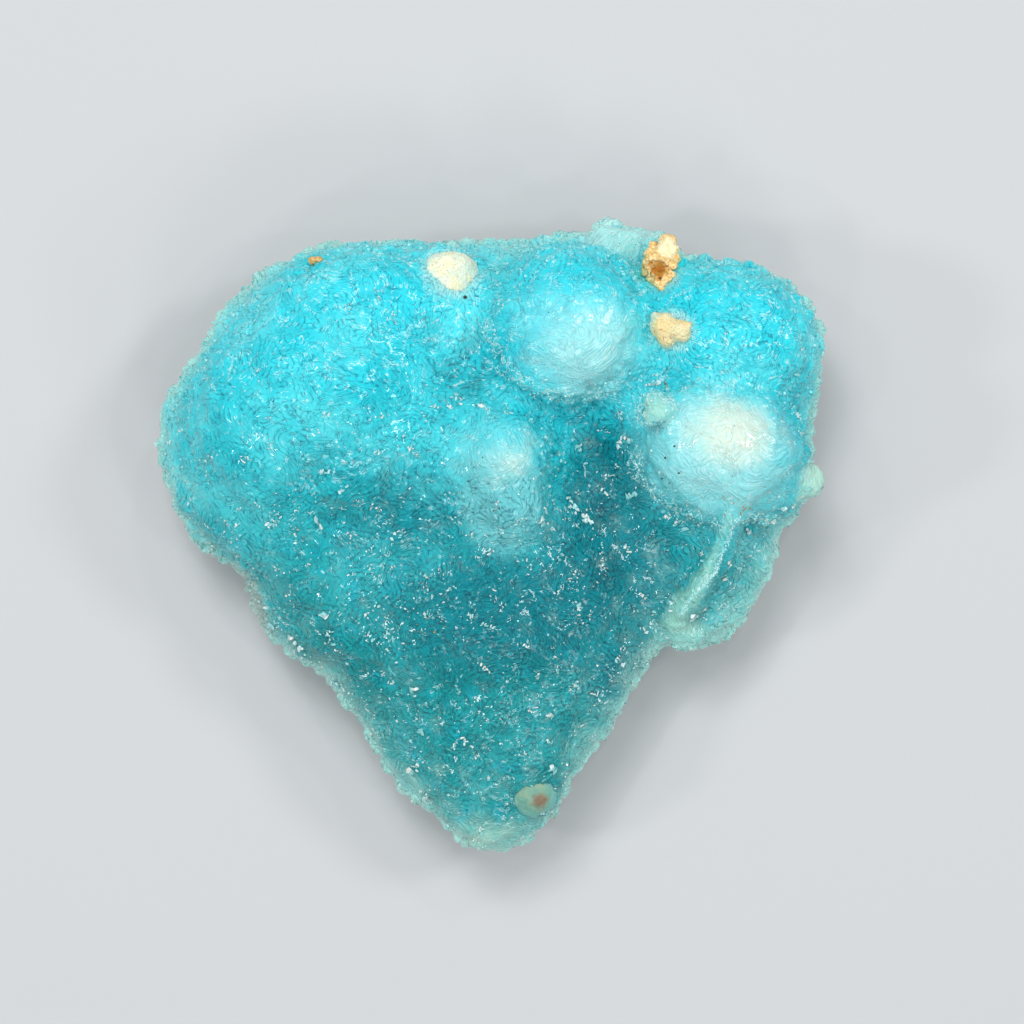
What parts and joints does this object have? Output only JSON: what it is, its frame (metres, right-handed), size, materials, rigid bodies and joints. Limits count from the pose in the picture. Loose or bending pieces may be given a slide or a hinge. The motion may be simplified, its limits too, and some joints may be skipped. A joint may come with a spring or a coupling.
{
  "type": "hemimorphite specimen",
  "caption": "Blue botryoidal hemimorphite hand specimen with crumbs of cream and rust-brown matrix, lying on its back for display.",
  "frame": {"origin": "middle of the underside of the bounding box, on the surface that the specimen rests on", "axes": "+X to the right across the face, +Y up the face from its tapered tip, +Z out of the face, away from the back that it rests on"},
  "size_m": [0.0502, 0.0476, 0.0186],
  "materials": {
    "hemimorphite": "translucent blue, glistening with fine crystal blades",
    "limonite": "dull, earthy orange-brown",
    "cream_matrix": "dull, fuzzy cream",
    "rusty_matrix": "dull beige with a rust-brown core"
  },
  "bodies": {
    "root": {"hemimorphite": "hemimorphite", "limonite_crust": "limonite", "ochre_grain": "limonite", "cream_nodule_left": "cream_matrix", "cream_nodule_right": "cream_matrix", "rusty_nodule": "rusty_matrix"}
  },
  "joints": []
}
